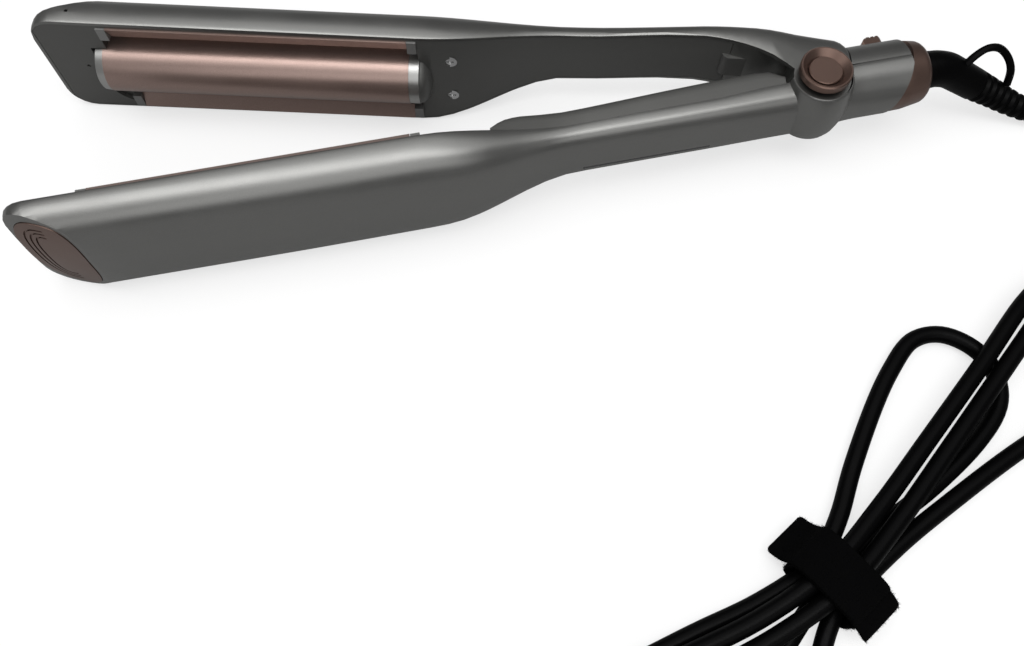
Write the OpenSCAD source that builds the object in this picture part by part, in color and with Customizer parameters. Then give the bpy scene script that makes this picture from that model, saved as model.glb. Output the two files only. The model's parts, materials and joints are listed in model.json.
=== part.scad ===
// Hair waver, lying on its side with the arms open.
// The arms are drawn closed about the hinge axis (X = 0, Y = 0), tips to -X, +Y outward,
// with z = 0 on their mid-plane. The near arm is mirrored and the far arm is swung open.

/* [Overall] */
// Hinge axis to the tips
arm_len = 289; // [270:1:340]
// Half width of the heated end, at the plates
face_half_w = 24; // [23:0.5:29]
// Widening of the half width from the plates' root to the tips
face_flare = 0.5; // [0:0.1:1]
// Angle between the open arms
open_angle = 14.5; // [10:0.5:20]

/* [Handle] */
// Half width of the handle
handle_half_w = 12.7; // [12.4:0.1:14]
// Hinge axis to where the handle begins to widen
handle_len = 92; // [80:1:110]
// Outward bow of the far handle where it leaves the wide end
bow = 15; // [12:0.5:18]
// Further bow, up to where the far handle turns to the hinge
bow_rise = 2.8; // [1:0.1:4]
// Height of the near handle's raised cover
raise = 10.3; // [8:0.1:11]

/* [Thickness] */
// Outer face of the near arm at the plates
near_wide_t = 17.6; // [16:0.2:21]
// Outer face of the near handle
near_handle_t = 8.3; // [8:0.1:10]
// Outer face of the far arm at the plates
far_wide_t = 19.6; // [18:0.2:22]
// Outer face of the far handle at the wide end
far_handle_t = 23; // [22:0.2:26]
// Rise of the near rim above the meeting plane at the plates
near_rim = 2; // [1.6:0.1:2.4]
// Rise of the far rim above the meeting plane at the plates
far_rim = 1; // [0.8:0.1:1.6]

/* [Plates] */
// Length of the heated plates
plate_len = 108.4; // [100:0.2:120]
// Tips to the plates
tip_len = 29; // [26:0.5:34]
// Half width of the plates over their lips
plate_half_w = 22.2; // [21.8:0.1:22.4]
// Radius of the barrel
barrel_r = 10.7; // [10:0.1:12]
// How far the barrel's axis sits behind the meeting plane
barrel_sink = 3.85; // [3:0.05:4.5]
// Inner edge of the lips
lip_in = 16.3; // [16:0.1:17]
// Gap between barrel and trough when closed
hair_gap = 0.7; // [0.5:0.1:1.2]
// Half gap between the lips when closed
lip_gap = 0.2; // [0.15:0.05:0.4]

/* [Hinge] */
// Radius of the far arm's hub
hub_r = 10.4; // [9.6:0.1:11]
// Underside of the hub
hub_low = -6.4; // [-8:0.1:-5]
// Top of the hub
hub_top = 14.2; // [13.6:0.1:15]
// Running gap round the hub
hub_gap = 0.4; // [0.3:0.05:0.6]
// Radius of the hinge pin
pin_r = 3; // [2.5:0.1:3.5]
// Radius of the ring on top of the hinge
ring_r = 9.5; // [9:0.1:11]
// Top of the ring
ring_top = 19.75; // [18.5:0.05:21]
// Radius of the disc inside the ring
disc_r = 6.1; // [5:0.1:7]

/* [Rear] */
// Hinge axis to the end of the rear collar
rear_len = 45.5; // [44:0.5:56]
// Radius of the rear body
rear_r = 13.2; // [13:0.1:14]
// Offset of the rear body towards the far arm
rear_off = 5; // [4.5:0.1:5.5]
// Travel of the lock slider
lock_travel = 5; // [3:0.5:6]

/* [Shell] */
// Thickness of the covers
cover_t = 1.6; // [1.2:0.1:2]
// Depth of the covers below the rim
cover_inset = 0.1; // [0.05:0.05:0.4]
// Thickness of the rim round the covers
rim_t = 1.3; // [1.2:0.1:2]
// Assembly gap between fitted pieces
fit_gap = 0.15; // [0.1:0.05:0.25]

/* [Cord] */
// Diameter of the cord
cord_d = 6.2; // [5.8:0.1:6.8]

/* [Hidden] */

metal_grey = [0.55, 0.55, 0.53];
dark_grey = [0.33, 0.33, 0.33];
rose_gold = [0.62, 0.45, 0.40];
steel = [0.72, 0.72, 0.74];
board_green = [0.10, 0.35, 0.20];
ceramic_white = [0.90, 0.90, 0.86];
cord_black = [0.07, 0.07, 0.07];

mid_z = face_half_w + face_flare;
plate_tip = arm_len - tip_len;
plate_root = plate_tip - plate_len;
plate_mid = (plate_tip + plate_root) / 2;
shoulder = plate_root - 3;
corner_r = 9;
screw_u = plate_root - 15.1;
screw_half_pitch = 9.8;
screw_r = 1.5;
screw_deep = 10.2;
tip_lip = 5.7;
tip_slope = 25;
dome_r = 165;
barrel_past = 5.4;
ring_foot = 15.4;
boss_top = 15.2;
boss_low = -13.2;
boss_r = 12.8;
spring_r = 7.4;
spring_top = 1.5;
pin_foot = -11.5;
hub_rear = 11.3;
neck_r = 7.2;

// 0 below a, 1 above b, and a soft step between them
function soft(a, b, x) = let (t = min(1, max(0, (x - a) / (b - a)))) t * t * (3 - 2 * t);

// A blend from p to q as x goes from a to b
function blend(p, q, a, b, x) = p + (q - p) * soft(a, b, x);

// Half width of an arm at distance u from the hinge, with round corners at the tip
function half_w(u) = let (
        t = max(0, u - (arm_len - corner_r)) / corner_r,
        flare = face_flare * max(0, u - shoulder) / (arm_len - shoulder),
        full = blend(handle_half_w, face_half_w, handle_len, shoulder, u) + flare)
    full - corner_r * (1 - sqrt(max(0, 1 - t * t)));

// Height of the far arm's rim above the meeting plane
turn_u = 45;
turn_end = 8.5;
function far_in(u) = u > turn_u
    ? blend(bow, far_rim, handle_len, shoulder, u) + bow_rise * (1 - soft(turn_u, handle_len, u))
    : let (t = min(1, (turn_u - u) / (turn_u - turn_end)))
        (bow + bow_rise) * pow(1 - pow(t, 1.8), 1 / 1.8);

// Height of the far arm's outer face
function far_out(u) = let (t = min(1, max(0, (-6 - u) / 5.4)))
    blend(far_handle_t, far_wide_t, 85, shoulder, u) + 2.6 * (1 - soft(30, handle_len, u))
    - 4.2 * (1 - soft(-14, 24, u)) - 6 * (1 - sqrt(1 - t * t));

// Height of the near arm's rim, which sinks to the rear body's mid-plane
near_sink = 0.6;
rear_seam = 3.9;
function near_in(u) = u > turn_u
    ? blend(near_sink, near_rim, turn_u, 135, u)
    : blend(-rear_seam, -1, -17, 5, u) + (near_sink + 1) * soft(12, turn_u, u);

// Height of the near arm's outer face
function near_out(u) = u > 0
    ? blend(near_handle_t, near_wide_t, handle_len, 142, u) - 1.2 * soft(180, arm_len, u)
    : blend(rear_r - rear_off, near_handle_t, -17, 0, u);

// Stations along an arm, close together where its outline turns
tip_stations = [0, 0.6, 1.8, 3.6, 6, 9, 14, 22];
function stations(first) = [
    for (t = tip_stations) arm_len - t,
    for (t = [arm_len - 34:-20:arm_len - 114]) t,
    for (t = [shoulder + 12:-6:shoulder - 18]) t,
    for (t = [shoulder - 22:-3:handle_len + 18]) t,
    for (t = [handle_len + 12:-8:50]) t,
    for (t = [42:-5:first + 1]) t,
    first];

// One D-shaped section: a flat rim and a rounded outer side of exponent n. The rim's corners are
// taken off by ease.
arc_steps = 22;
function section(u, hw, lo, hi, n, ease = 0) = concat(
    ease > 0 ? [[-u, lo, hw - ease], [-u, lo + 0.3 * ease, hw - 0.3 * ease]] : [],
    [for (i = [0:arc_steps]) let (a = 180 * i / arc_steps)
        [-u, lo + max(ease, (hi - lo) * pow(sin(a), 2 / n)),
            hw * sign(cos(a)) * pow(abs(cos(a)), 2 / n)]],
    ease > 0 ? [[-u, lo + 0.3 * ease, 0.3 * ease - hw], [-u, lo, ease - hw]] : []);
rim_ease = 1.1;

// A solid skinned over sections that have the same number of points
module skin(sections) {
    k = len(sections[0]);
    m = len(sections);
    sides = [for (j = [0:m - 2]) for (i = [0:k - 1]) for (half = [0, 1])
        let (a = j * k + i, b = j * k + (i + 1) % k)
            half == 0 ? [a, b, a + k] : [b, b + k, a + k]];
    start = [for (i = [1:k - 2]) [0, i + 1, i]];
    finish = [for (i = [1:k - 2]) [(m - 1) * k, (m - 1) * k + i, (m - 1) * k + i + 1]];
    polyhedron([for (s = sections) for (q = s) q], concat(sides, start, finish));
}

// Plan outline of an arm between two distances, as seen along Y, drawn in by inset
module plan(inset, first, last, tall) {
    us = [for (u = stations(-12)) if (u > first && u < last) u];
    side = concat([last], us, [first]);
    rotate([90, 0, 0])
        translate([0, 0, -tall])
            linear_extrude(2 * tall)
                polygon(concat([for (u = side) [-u, half_w(min(u, arm_len)) - inset]],
                    [for (i = [len(side) - 1:-1:0])
                        [-side[i], inset - half_w(min(side[i], arm_len))]]));
}

// A band that follows a rim from height lo to height hi, across the whole arm
module band(rim, lo, hi, first, last) {
    us = concat([last], [for (u = stations(-12)) if (u > first && u < last) u], [first]);
    linear_extrude(2 * mid_z + 10, center = true)
        polygon(concat([for (u = us) [-u, rim(u) + lo]],
            [for (i = [len(us) - 1:-1:0]) [-us[i], rim(us[i]) + hi]]));
}

// A cylinder along the hinge axis
module post(r, low, high) {
    translate([0, 0, low]) cylinder(r = r, h = high - low, $fn = 96);
}

// The hinge axis stands here, so that the open tool is centred on the origin
relief_len = 55;
hinge_at = [(arm_len - rear_len - relief_len - 1.3) / 2,
    (near_wide_t - (arm_len - 28) * sin(open_angle) - far_wide_t * cos(open_angle)) / 2];
module on_table() { translate([hinge_at[0], hinge_at[1], 0]) children(); }
module at_hinge() { translate([hinge_at[0], hinge_at[1], mid_z]) children(); }
module near_arm() { at_hinge() mirror([0, 1, 0]) children(); }
module far_arm() { at_hinge() rotate([0, 0, -open_angle]) children(); }

// The sloping end face: X runs back along the slope, Y out of it
module on_slope() {
    translate([-arm_len, tip_lip, 0]) rotate([0, 0, tip_slope]) children();
}

// The face is domed across its width
module dome(lift) {
    on_slope()
        translate([-30, -dome_r, 0]) rotate([0, 90, 0])
            cylinder(r = dome_r + lift, h = 120, $fn = 240);
}
module beyond_slope() {
    difference() {
        on_slope() translate([-25, -9, -40]) cube([100, 60, 80]);
        dome(0);
    }
}

// An oval prism square to the sloping face
cap_half_len = 11.7;
cap_half_w = 20.6;
cap_centre = 12;
module cap_oval(grow) {
    on_slope()
        translate([cap_centre, -12, 0])
            rotate([-90, 0, 0])
                linear_extrude(30)
                    polygon([for (a = [0:5:355]) let (k = 0.72)
                        [(cap_half_len + grow) * sign(cos(a)) * pow(abs(cos(a)), k),
                            (cap_half_w + grow) * sign(sin(a)) * pow(abs(sin(a)), k)]]);
}

// Tip cap with nested grooves along its leading side
cap_depth = 1.8;
cap_proud = 0.3;
module tip_cap() {
    groove_w = 0.7;
    difference() {
        intersection() {
            cap_oval(-fit_gap);
            dome(cap_proud);
        }
        dome(-cap_depth);
        for (i = [1:3])
            difference() {
                cap_oval(-1.2 - 2 * i);
                cap_oval(-1.2 - 2 * i - groove_w);
                dome(cap_proud - 0.5);
                on_slope() translate([cap_centre + 1.5, -20, -40]) cube([60, 80, 80]);
            }
    }
}
module cap_pocket() {
    difference() {
        cap_oval(0);
        dome(-cap_depth - fit_gap);
    }
}

// The lips of both plates slope inwards, into the far arm
plate_wall = 1.2;
lip_back = 5;
lip_slope = 2.3;
module lips(behind, slope) {
    for (s = [-1, 1])
        polygon([[s * plate_half_w, lip_gap], [s * plate_half_w, lip_back],
            [s * (lip_in + plate_wall), lip_back], [s * (lip_in + plate_wall), behind],
            [s * lip_in, behind], [s * lip_in, lip_gap + slope]]);
}

// Profile of the barrel plate: a round nose with straight flanks, deep channels and sloping lips,
// in z and y
barrel_back = 10;
channel_floor = 8.2;
module barrel_round(grow) {
    circle_r = barrel_r + grow;
    intersection() {
        union() {
            translate([0, barrel_sink]) circle(r = circle_r, $fn = 120);
            translate([-circle_r, barrel_sink]) square([2 * circle_r, 20]);
        }
        translate([-20, -20]) square([40, 20 + barrel_back + grow]);
    }
}
module barrel_profile() {
    lips(barrel_back, lip_slope);
    barrel_round(0);
    difference() {
        translate([-lip_in - 0.1, 4]) square([2 * lip_in + 0.2, barrel_back - 4]);
        round_box(lip_in, -20, channel_floor, 1.5);
    }
}

// Profile of the trough plate: trough, ridges that enter the channels, and lips, in z and y
ridge_z = 13.9;
ridge_r = 2.2;
ridge_rise = 3.1;
ridge_short = 1;
trough_back = 9.4;
module trough_room(grow) {
    room_r = barrel_r + hair_gap + grow;
    translate([0, -barrel_sink]) circle(r = room_r, $fn = 120);
    translate([-room_r, -barrel_sink - 30]) square([2 * room_r, 30]);
}
module ridges() {
    for (s = [-1, 1]) {
        translate([s * ridge_z, ridge_r - ridge_rise]) circle(r = ridge_r, $fn = 48);
        translate([s * ridge_z - ridge_r, ridge_r - ridge_rise]) square([2 * ridge_r, ridge_rise + 1]);
    }
}
module trough_profile(slope) {
    difference() {
        union() {
            lips(trough_back, slope);
            translate([-lip_in - 0.1, lip_gap]) square([2 * lip_in + 0.2, trough_back - lip_gap]);
        }
        trough_room(0);
    }
}

// Extrudes a profile drawn in z and y along the arm
module along_arm(first, last) {
    translate([-last, 0, 0]) rotate([0, 90, 0]) linear_extrude(last - first) children();
}

// Seat for a plate, its heater and its holder
end_t = 3.5;
module plate_seat(grow, lips, back) {
    for (box = [[plate_half_w, lips], [lip_in + plate_wall, back]])
        translate([-plate_tip - end_t - grow, -20, -box[0] - grow])
            cube([plate_len + 2 * end_t + 2 * grow, 20 + box[1] + grow, 2 * (box[0] + grow)]);
}

// Holder behind a plate: a tray, with an end wall and lip blocks at both ends
tray_t = 1.2;
module holder(lips, back) {
    wall = end_t - fit_gap;
    for (u = [plate_root - fit_gap - wall, plate_tip + fit_gap])
        along_arm(u, u + wall)
            difference() {
                union() {
                    translate([-plate_half_w, lip_gap + 0.1])
                        square([2 * plate_half_w, lips - lip_gap - 0.1]);
                    translate([-lip_in - plate_wall, lip_gap + 0.1])
                        square([2 * (lip_in + plate_wall), back + tray_t - lip_gap - 0.1]);
                }
                children();
            }
    along_arm(plate_root - fit_gap - wall, plate_tip + fit_gap + wall)
        translate([-lip_in - plate_wall, back]) square([2 * (lip_in + plate_wall), tray_t]);
}
heater_t = 1.2;
module heater(back) {
    translate([-plate_mid - 35, back + 0.05, -7]) cube([70, heater_t - 0.1, 14]);
}

// Cross-recessed countersunk screws at both sides of the arm's mid-plane
module cover_screws(face) {
    for (s = [-1, 1])
        translate([-screw_u, face, s * screw_half_pitch])
            rotate([-90, 0, 0])
                difference() {
                    union() {
                        cylinder(r = screw_r, h = 9, $fn = 32);
                        cylinder(r1 = 2.7, r2 = screw_r, h = 1.4, $fn = 32);
                    }
                    for (a = [0, 90])
                        rotate([0, 0, a]) translate([-1.5, -0.3, -0.1]) cube([3, 0.6, 0.8]);
                }
}
module screw_holes(face, r, depth) {
    for (s = [-1, 1])
        translate([-screw_u, face, s * screw_half_pitch])
            rotate([-90, 0, 0]) {
                translate([0, 0, -3]) cylinder(r = r, h = depth + 3, $fn = 32);
                children();
            }
}

// Near arm
rear_end = rear_len - 9;
module near_shell() {
    us = concat(stations(-17), [-22, -rear_end]);
    skin([for (u = us)
        section(u, u < 5 ? blend(rear_r, handle_half_w, -17, 5, u) : half_w(u), near_in(u),
            near_out(u), blend(2, 3, -17, 8, u), blend(0.01, rim_ease, handle_len, shoulder, u))]);
}

// The side of the boss that faces the far arm is cut away along this line
module beyond_deck() {
    linear_extrude(80, center = true)
        polygon([[-14, -0.8], [14, -3.9], [14, -60], [-14, -60]]);
}
boss_side = [[11, -9], [12, -6.5], [boss_r - 0.2, -3], [boss_r, 1], [boss_r, 4.5],
    [boss_r - 0.3, 8.5], [boss_r - 0.8, 12], [11.5, 14.3], [11.3, 14.9], [11, boss_top]];
module hinge_boss() {
    foot_r = 8.6;
    difference() {
        rotate_extrude($fn = 96) polygon(concat([[0, -9]], boss_side, [[0, boss_top]]));
        beyond_deck();
    }
    post(foot_r, boss_low + 2.4, hub_low - hub_gap);
    rotate_extrude($fn = 96)
        polygon(concat([[0, boss_low + 2.5], [0, boss_low]],
            [for (a = [-90:15:0]) [foot_r - 2.4 + 2.4 * cos(a), boss_low + 2.4 + 2.4 * sin(a)]],
            [[foot_r, boss_low + 2.5]]));
}

// Room for the barrel's end collars when the arms are closed
room_tip = 10.4;
room_root = 10.2;
module collar_room() {
    along_arm(plate_root - room_root, plate_tip + room_tip) trough_room(0);
}
lens_u = handle_len - 26.5;
lens_len = 49;
module near_casing() {
    color(metal_grey)
    near_arm()
    difference() {
        union() {
            near_shell();
            hinge_boss();
        }
        post(hub_r + hub_gap, hub_low - hub_gap, 40);
        post(pin_r + 0.02, pin_foot - 0.02, 0);
        beyond_slope();
        cap_pocket();
        intersection() {
            plan(rim_t, 30, arm_len - rim_t, 40);
            band(function(u) near_in(u), -40, cover_inset + cover_t + fit_gap, 30, arm_len - rim_t);
        }
        plate_seat(fit_gap, lip_back, trough_back + heater_t + tray_t + 0.1);
        collar_room();
        translate([-handle_len - 8, -6, -9]) cube([64, 12.2, 18]);
        translate([-lens_u - lens_len / 2, 5.2, -7.3]) rotate([8, 0, 0]) cube([lens_len, 12, 1.2]);
        screw_holes(0, screw_r, near_in(screw_u) + screw_deep);
        rear_bore();
        mirror([0, 1, 0]) collar_cut(-0.1);
    }
}

// Bore of the rear body for the swivel
swivel_r = 9.2;
swivel_x = rear_end - 13;
module rear_bore() {
    translate([swivel_x - 0.4, -rear_off, 0])
        rotate([0, 90, 0]) cylinder(r = swivel_r, h = 40, $fn = 96);
}
rise_u = shoulder - 26.5;
function raised(u) = u > rise_u ? 0
    : let (t = min(1, (rise_u - u) / 15))
        min(far_in(u) - 0.7,
            (raise - 3.2) * sqrt(1 - (1 - t) * (1 - t)) + 3.2 * (1 - soft(25, 112, u)));
module near_inner_cover() {
    us = [for (u = stations(10)) if (u < rise_u + 4) u];
    color(dark_grey)
    near_arm()
    difference() {
        union() {
            intersection() {
                plan(rim_t + fit_gap, 40, arm_len - rim_t - fit_gap, 40);
                band(function(u) near_in(u), cover_inset, cover_inset + cover_t, 40,
                    arm_len - rim_t - fit_gap);
            }
            mirror([0, 1, 0])
                skin([for (u = us) let (low = 0.05 - near_in(u))
                    section(u, min(half_w(u), handle_half_w + 9) - 0.4, low,
                        max(raised(u), low + 0.25), 4.5)]);
            intersection() {
                plan(rim_t + fit_gap, 40, rise_u, 40);
                band(function(u) near_in(u), -0.5, cover_inset + 0.1, 40, rise_u);
            }
        }
        plate_seat(0, 20, 20);
        collar_room();
        post(boss_r + 0.2, -30, 40);
        screw_holes(near_in(screw_u) + cover_inset, screw_r + 0.2, 6)
            cylinder(r1 = 2.85, r2 = screw_r + 0.2, h = 1.3, $fn = 32);
        beyond_slope();
        cap_pocket();
    }
}
module near_tip_cap() {
    color(rose_gold) near_arm() tip_cap();
}
module trough_plate() {
    color(rose_gold)
    near_arm()
        union() {
            along_arm(plate_root, plate_tip) trough_profile(0);
            along_arm(plate_root + ridge_short, plate_tip - ridge_short) {
                trough_profile(2 * lip_gap - lip_slope);
                difference() {
                    ridges();
                    trough_room(0);
                }
            }
        }
}
module near_plate_holder() {
    color(dark_grey)
    near_arm()
        holder(lip_back, trough_back + heater_t) trough_room(0.2);
}
module near_heater() {
    color(ceramic_white) near_arm() heater(trough_back);
}
module near_cover_screws() {
    color(steel) near_arm() cover_screws(near_in(screw_u) + cover_inset + 0.05);
}

// Rear body
module collar_cut(lift) {
    translate([rear_len - 11 + lift, rear_off, 0])
        rotate([0, 0, -15.6]) rotate([0, 14, 0]) translate([0, -60, -60]) cube([120, 120, 120]);
}
module rear_cover() {
    color(metal_grey)
    at_hinge()
    difference() {
        translate([0, rear_off, 0]) rotate([0, 90, 0]) cylinder(r = rear_r, h = rear_end, $fn = 120);
        translate([-60, rear_seam - 60 + fit_gap, -60]) cube([120, 60, 120]);
        rotate([0, 0, -open_angle])
            translate([-60, -60, -60]) cube([60 + hub_rear + 0.4, 120, 120]);
        post(hub_r + hub_gap, -30, 30);
        mirror([0, 1, 0]) rear_bore();
        collar_cut(-0.1);
        lock_slot();
    }
}

// Lock slider on the rear body: a knob with a stem and a foot in a slot
lock_x = rear_len - 16.2;
lock_half_len = 4.2;
lock_half_w = 5;
lock_top = 2.6;
module lock_slot() {
    stem = 1.5;
    translate([lock_x - stem - lock_travel - 0.2, rear_off + 6, -1.5])
        cube([2 * stem + lock_travel + 0.4, 12, 3]);
    translate([lock_x - 3 - lock_travel - 0.2, rear_off + 10.2, -3])
        cube([6 + lock_travel + 0.4, 1.5, 6]);
}
module lock_slider() {
    color(rose_gold)
    at_hinge()
    translate([lock_x, 0, 0])
    union() {
        difference() {
            intersection() {
                translate([0, rear_off, -lock_half_w])
                    linear_extrude(2 * lock_half_w)
                        polygon([[-lock_half_len, 0], [-lock_half_len, rear_r - 0.4],
                            [1.4 - lock_half_len, rear_r + lock_top - 0.7],
                            [2.6 - lock_half_len, rear_r + lock_top], [lock_half_len - 1.2,
                            rear_r + lock_top], [lock_half_len - 0.3, rear_r + lock_top - 0.6],
                            [lock_half_len, rear_r + lock_top - 1.6], [lock_half_len, 0]]);
                translate([0, rear_off, 0])
                    rotate([-90, 0, 0])
                        cylinder(r = lock_half_w + 0.9, h = 40, $fn = 96);
            }
            translate([-10, rear_off, 0]) rotate([0, 90, 0])
                cylinder(r = rear_r + 0.15, h = 20, $fn = 120);
            for (i = [-1:1])
                translate([1.8 * i - 0.3, rear_off + rear_r + lock_top - 0.4, -6]) cube([0.6, 3, 12]);
        }
        translate([-1.3, rear_off + 10.3, -1.3]) cube([2.6, rear_r - 9, 2.6]);
        translate([-2.8, rear_off + 10.3, -2.8]) cube([5.6, 1.3, 5.6]);
    }
}
module rear_collar() {
    lip = rear_len - 4;
    color(rose_gold)
    at_hinge()
    translate([0, rear_off, 0])
    difference() {
        rotate([0, 90, 0])
            rotate_extrude($fn = 120)
                polygon(concat([[neck_r + 0.8, rear_len], [neck_r + 0.8, rear_end - 0.5],
                        [swivel_r, rear_end - 0.5], [swivel_r, 20], [rear_r, 20],
                        [rear_r - 0.3, rear_end - 1], [rear_r - 1.3, lip]],
                    [for (a = [20:14:90]) [rear_r - 5.3 + 4 * cos(a), lip + 4 * sin(a)]]));
        translate([0, -rear_off, 0])
            difference() {
                translate([-60, -60, -60]) cube([200, 120, 120]);
                collar_cut(0.1);
            }
    }
}
board_y = 4.1;
module control_board() {
    color(board_green)
    near_arm()
        union() {
            translate([-handle_len - 4, board_y, -5.6]) cube([58, 1.2, 11.2]);
            translate([20 - handle_len, board_y + 1, -4]) cube([14, 1, 8]);
        }
}
module display_lens() {
    color([0.04, 0.04, 0.05])
    near_arm()
        intersection() {
            translate([0.15 - lens_u - lens_len / 2, 5.4, -7.15])
                rotate([8, 0, 0]) cube([lens_len - 0.3, 10, 0.9]);
            near_shell();
        }
}

// Hinge
module hinge_pin() {
    color(steel)
    at_hinge()
        difference() {
            union() {
                post(pin_r, pin_foot, ring_top - 3.2);
                post(pin_r + 1.6, hub_top + 0.7, ring_top - 3.2);
            }
            translate([-3, -0.6, ring_top - 4.2]) cube([6, 1.2, 3]);
        }
}
module hinge_ring() {
    color(rose_gold)
    at_hinge()
        rotate_extrude($fn = 120)
            polygon([[pin_r + 1.7, hub_top + 1.2], [ring_r - 1.6, hub_top + 1.2],
                [ring_r, hub_top + 2.6], [ring_r, ring_top - 0.4], [ring_r - 0.4, ring_top],
                [ring_r - 0.8, ring_top], [disc_r + 0.2, ring_top - 2.2],
                [disc_r + 0.2, ring_top - 3.1], [pin_r + 1.7, ring_top - 3.1]]);
}
module hinge_disc() {
    color(rose_gold)
    at_hinge()
        rotate_extrude($fn = 96)
            polygon([[0, ring_top - 3.1], [disc_r, ring_top - 3.1], [disc_r, ring_top - 1.8],
                [disc_r - 0.3, ring_top - 1.5], [0, ring_top - 1.5]]);
}
module hinge_washer() {
    color(steel)
    at_hinge()
    translate([0, 0, hub_top + 0.1])
        difference() {
            cylinder(r = 6.5, h = 0.5, $fn = 64);
            translate([0, 0, -1]) cylinder(r = pin_r + 0.1, h = 3, $fn = 64);
        }
}

// A torsion spring of round wire round the pin
wire_r = 0.6;
spring_turns = 4;
function ring_at(c, side, up, r, n) =
    [for (i = [0:n - 1]) c + r * cos(360 * i / n) * side + r * sin(360 * i / n) * up];
module hinge_spring() {
    mean_r = 5.2;
    low = hub_low + wire_r + 0.2;
    high = spring_top - wire_r - 0.3;
    steps = 14 * spring_turns;
    color(steel)
    at_hinge()
        skin([for (i = [0:steps]) let (a = 360 * spring_turns * i / steps)
            ring_at([mean_r * cos(a), mean_r * sin(a), low + (high - low) * i / steps],
                [cos(a), sin(a), 0], [0, 0, 1], wire_r, 6)]);
}

// Far arm
far_floor = 1.8;
module far_shell() {
    us = concat(stations(0), [-4, -7, -9, -10.4, -hub_rear]);
    skin([for (u = us)
        section(u, half_w(u) + 0.3 * (1 - soft(40, handle_len, u)),
            u < 60 ? max(far_floor, far_in(u)) : far_in(u), far_out(u), blend(5, 3, 8, 60, u),
            blend(0.01, rim_ease, 20, 60, u))]);
}

// Room round the near arm's boss, and over its rim behind the hinge
module far_clearance() {
    rotate([0, 0, open_angle])
        linear_extrude(80, center = true)
            polygon([[0, -60], [30, -60], [30, 4.7], [12, 4.3], [6, 3.5], [0, 2.9]]);
    difference() {
        post(boss_r + 0.5, -40, 40);
        translate([-40, 3.6, -40]) cube([80, 80, 80]);
    }
    translate([-30.5, -20, -11.3]) cube([21.5, 33.2, 22.6]);
}
module far_casing() {
    color(metal_grey)
    far_arm()
    difference() {
        union() {
            difference() {
                far_shell();
                far_clearance();
            }
            post(hub_r, hub_low, hub_top);
        }
        post(hub_r + 0.3, -40, hub_low);
        post(pin_r + 0.05, -40, 40);
        post(spring_r, hub_low - 1, spring_top);
        beyond_slope();
        cap_pocket();
        intersection() {
            plan(rim_t, 31, arm_len - rim_t, 40);
            band(function(u) far_in(u), -40, cover_inset + cover_t + fit_gap, 31, arm_len - rim_t);
        }
        plate_seat(fit_gap, lip_back, barrel_back + heater_t + tray_t + 0.1);
        collar_seat(collar_root + end_dome);
        root_block(fit_gap);
        side_vent();
        screw_holes(0, screw_r, far_in(screw_u) + screw_deep);
    }
}

// Small vent in the casing's side near the tip
module side_vent() {
    vent_u = arm_len - 14;
    vent_w = 1.2;
    translate([-vent_u, far_rim + 5, face_half_w - 3]) cube([vent_w, vent_w, 10]);
}

// Passage for the barrel and its collars through cover and casing
collar_tip = 9.4;
collar_root = 3.8;
end_dome = 4.8;
module collar_seat(root_len) {
    along_arm(plate_root - root_len - fit_gap, plate_tip + collar_tip + fit_gap)
        barrel_round(fit_gap);
}

// Round recesses in the cover where the channels end
module channel_ends() {
    recess_r = 9.9;
    dish_depth = 1.3;
    dish_r = (recess_r * recess_r + dish_depth * dish_depth) / (2 * dish_depth);
    for (s = [-1, 1]) {
        translate([-plate_tip - 0.5, -20, s * 10.6])
            rotate([-90, 0, 0]) cylinder(r = recess_r, h = 60, $fn = 96);
        translate([-plate_root - 0.4, far_in(plate_root) + cover_inset + dish_depth - dish_r, s * 10.3])
            sphere(r = dish_r, $fn = 180);
    }
}
module cover_sheet() {
    difference() {
        union() {
            intersection() {
                plan(rim_t + fit_gap, 31 + fit_gap, arm_len - rim_t - fit_gap, 40);
                band(function(u) far_in(u), cover_inset, cover_inset + cover_t, 31 + fit_gap,
                    arm_len - rim_t - fit_gap);
            }
            root_block(0);
        }
        plate_seat(0, 30, 30);
        collar_seat(collar_root + 0.1);
        channel_ends();
        translate([14.7 - arm_len, -10, 0.4]) rotate([-90, 0, 0]) cylinder(r = 0.7, h = 40, $fn = 24);
        screw_holes(far_in(screw_u) + cover_inset, screw_r + 0.2, 6)
            cylinder(r1 = 2.85, r2 = screw_r + 0.2, h = 1.3, $fn = 32);
        beyond_slope();
        cap_pocket();
    }
}
module far_inner_cover() {
    color(dark_grey)
    far_arm()
        union() {
            cover_sheet();
            collar_form(plate_root - collar_root - end_dome, plate_root - collar_root - 0.05,
                barrel_r - 0.5, 4.4, -1);
        }
}

// Rounded block where the cover meets the hinge
module root_block(grow) {
    translate([-34, 14.2, -5 - grow])
        linear_extrude(10 + 2 * grow)
            union() {
                translate([3, 3]) circle(r = 3 + grow, $fn = 48);
                translate([3, -grow]) square([7 + grow, 4.8 + 2 * grow]);
            }
}
module far_tip_cap() {
    color(rose_gold) far_arm() tip_cap();
}
module barrel_plate() {
    color(rose_gold)
    far_arm()
        union() {
            along_arm(plate_root, plate_tip) barrel_profile();
            along_arm(plate_tip - 1, plate_tip + barrel_past) barrel_round(0);
        }
}

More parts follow.
